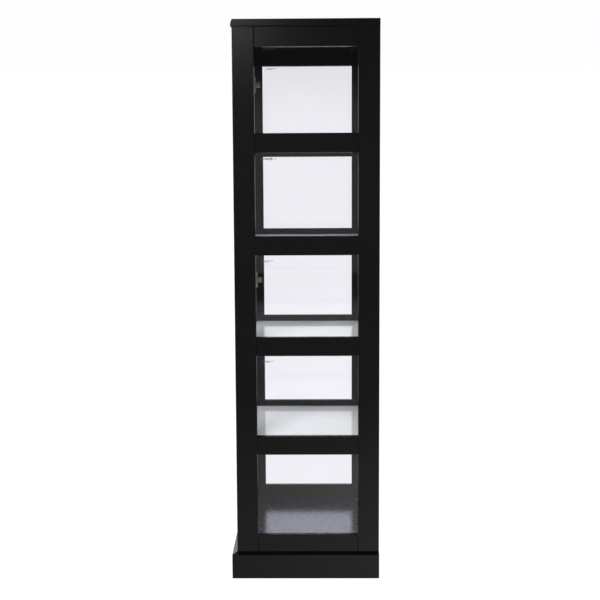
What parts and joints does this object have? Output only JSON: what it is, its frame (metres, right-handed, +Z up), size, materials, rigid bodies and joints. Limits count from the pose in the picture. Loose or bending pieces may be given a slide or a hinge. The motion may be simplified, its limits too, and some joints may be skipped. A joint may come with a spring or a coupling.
{
  "type": "glass display showcase",
  "caption": "Tall free-standing glass display cabinet with a black frame, glazed sides, glass shelves, a hinged glass door and a can light.",
  "frame": {"origin": "on the floor, at the middle of the whole object's box", "axes": "+Z up; -Y out of the door, towards the customer; +Y towards the wall; +X to the customer's right when facing the door"},
  "size_m": [0.632, 0.476, 1.78],
  "materials": {
    "black_lacquered_wood": "satin black lacquer sprayed over fine-grained board",
    "clear_glass": "clear tempered float glass with polished edges",
    "satin_glass": "tempered glass, smooth on top and satin etched below",
    "nickel_plate": "dull nickel-plated pressed steel",
    "chrome_plate": "bright chrome-plated die casting",
    "black_lamp_metal": "black powder-coated steel",
    "lamp_lens_glass": "stippled lamp glass, unlit"
  },
  "bodies": {
    "cabinet": {"top_board": "black_lacquered_wood", "floor_panel": "black_lacquered_wood", "back_panel": "black_lacquered_wood", "plinth_front": "black_lacquered_wood", "plinth_left": "black_lacquered_wood", "plinth_right": "black_lacquered_wood", "left_stile_front": "black_lacquered_wood", "left_stile_rear": "black_lacquered_wood", "left_rail_bottom": "black_lacquered_wood", "left_rail_1": "black_lacquered_wood", "left_rail_2": "black_lacquered_wood", "left_rail_3": "black_lacquered_wood", "left_rail_4": "black_lacquered_wood", "left_rail_top": "black_lacquered_wood", "left_pane_1": "clear_glass", "left_pane_2": "clear_glass", "left_pane_3": "clear_glass", "left_pane_4": "clear_glass", "left_pane_5": "clear_glass", "right_stile_front": "black_lacquered_wood", "right_stile_rear": "black_lacquered_wood", "right_rail_bottom": "black_lacquered_wood", "right_rail_1": "black_lacquered_wood", "right_rail_2": "black_lacquered_wood", "right_rail_3": "black_lacquered_wood", "right_rail_4": "black_lacquered_wood", "right_rail_top": "black_lacquered_wood", "right_pane_1": "clear_glass", "right_pane_2": "clear_glass", "right_pane_3": "clear_glass", "right_pane_4": "clear_glass", "right_pane_5": "clear_glass", "shelf_1": "satin_glass", "left_cleat_1": "black_lacquered_wood", "right_cleat_1": "black_lacquered_wood", "shelf_2": "satin_glass", "left_cleat_2": "black_lacquered_wood", "right_cleat_2": "black_lacquered_wood", "shelf_3": "satin_glass", "left_cleat_3": "black_lacquered_wood", "right_cleat_3": "black_lacquered_wood", "shelf_4": "satin_glass", "left_cleat_4": "black_lacquered_wood", "right_cleat_4": "black_lacquered_wood", "hinge_arm_1": "nickel_plate", "hinge_arm_2": "nickel_plate", "hinge_arm_3": "nickel_plate", "lamp_housing": "black_lamp_metal", "lamp_lens": "lamp_lens_glass"},
    "door": {"door_stile_hinge_side": "black_lacquered_wood", "door_stile_lock_side": "black_lacquered_wood", "door_rail_top": "black_lacquered_wood", "door_rail_bottom": "black_lacquered_wood", "door_glass": "clear_glass", "hinge_cup_1": "nickel_plate", "hinge_cup_2": "nickel_plate", "hinge_cup_3": "nickel_plate", "lock_barrel": "chrome_plate"},
    "lock": {"lock_plug_and_cam": "chrome_plate"}
  },
  "joints": [
    {"name": "door_hinge", "type": "hinge", "parent": "cabinet", "child": "door", "pos_m": [-0.278, -0.222, 0.9], "axis": [0, 0, -1], "range_deg": [0, 105]},
    {"name": "lock_turn", "type": "hinge", "parent": "door", "child": "lock", "pos_m": [0.253, -0.202, 0.96], "axis": [0, 1, 0], "range_deg": [0, 90]}
  ]
}
